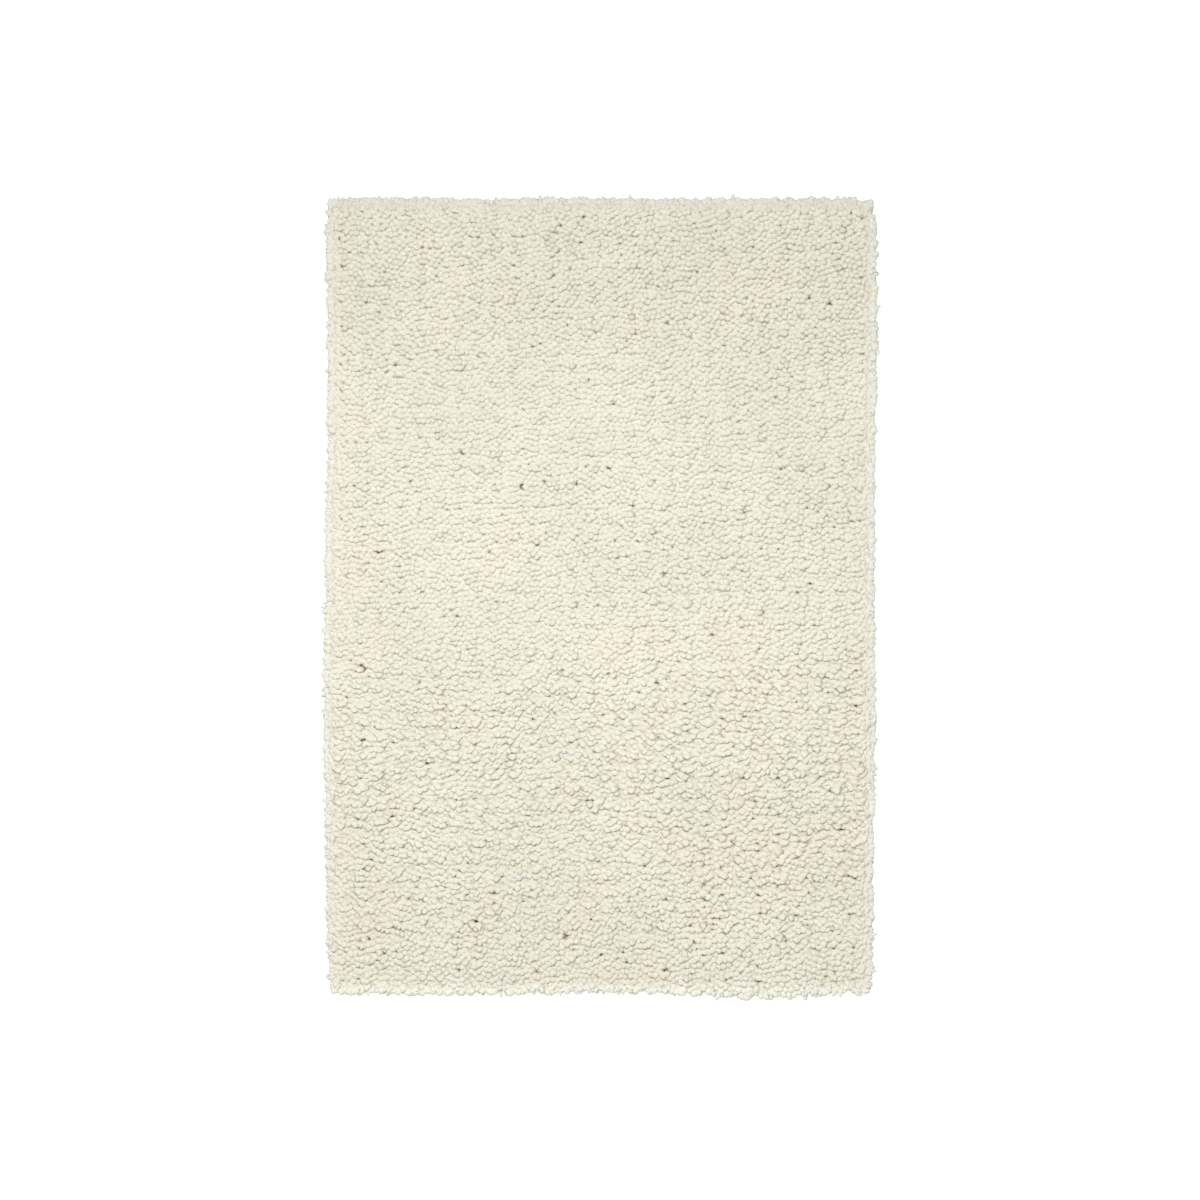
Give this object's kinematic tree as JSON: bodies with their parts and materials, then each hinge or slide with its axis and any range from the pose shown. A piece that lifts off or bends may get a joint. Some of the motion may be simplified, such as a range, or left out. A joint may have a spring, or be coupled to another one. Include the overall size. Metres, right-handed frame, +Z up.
{
  "type": "shag rug",
  "caption": "Flat rectangular rug of thick cream shag pile that leans towards one end, with loose locks of yarn round its rim.",
  "frame": {"origin": "middle of the underside, on the floor, under the middle of the rug's outer box", "axes": "+X across the rug, +Y along it away from the way the pile leans, +Z up out of the pile"},
  "size_m": [1.3984, 2.0118, 0.038],
  "materials": {
    "pile_yarn": "thick, soft, matt yarn in undyed cream, cut long and lightly twisted, the pile leaning towards -Y"
  },
  "bodies": {
    "root": {"shag_rug": "pile_yarn"}
  },
  "joints": []
}
